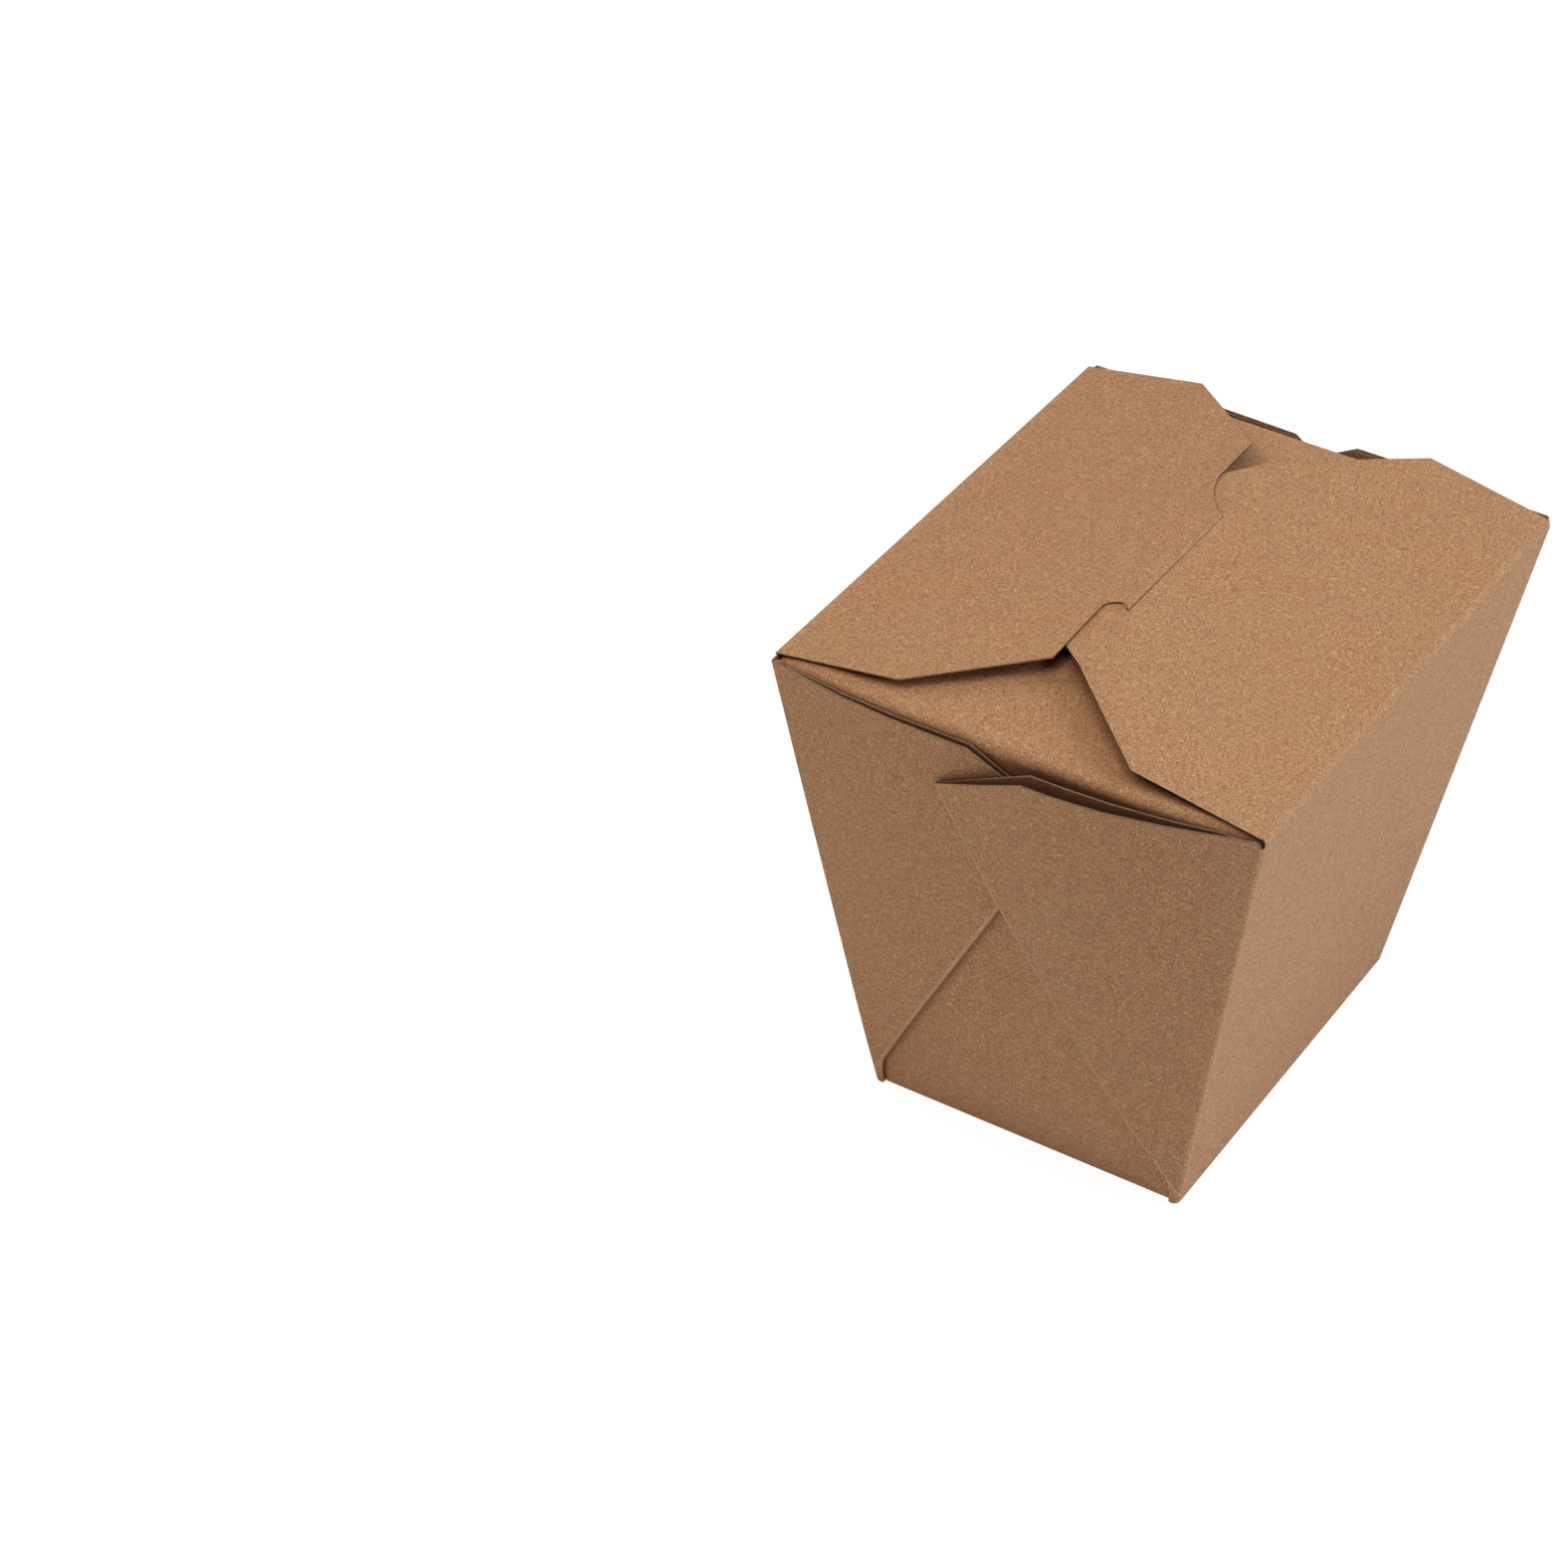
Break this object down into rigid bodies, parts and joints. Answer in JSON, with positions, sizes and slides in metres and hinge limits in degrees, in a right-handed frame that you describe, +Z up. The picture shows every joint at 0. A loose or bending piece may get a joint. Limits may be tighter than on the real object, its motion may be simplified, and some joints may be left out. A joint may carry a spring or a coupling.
{
  "type": "takeaway box",
  "caption": "Folded kraft card food box with tapered walls, corner gussets and a gable lid whose tongue locks into a slit.",
  "frame": {"origin": "centre of the base, on the surface that the box stands on", "axes": "+Z up, +Y towards the rear end panel, so that -Y is the end with the wide gusset in front, +X towards the wall that carries the slot flap"},
  "size_m": [0.1017, 0.1347, 0.1151],
  "materials": {
    "kraft_card": "matt, brown kraft"
  },
  "bodies": {
    "box": {"box_body": "kraft_card"},
    "lid": {"tongue_flap": "kraft_card", "lock_tongue": "kraft_card"}
  },
  "joints": [
    {"name": "lid_crease", "type": "hinge", "parent": "box", "child": "lid", "pos_m": [-0.05078, 0, 0.10627], "axis": [0, -1, 0], "range_deg": [0, 210], "deforming": ["lock_tongue"]}
  ]
}
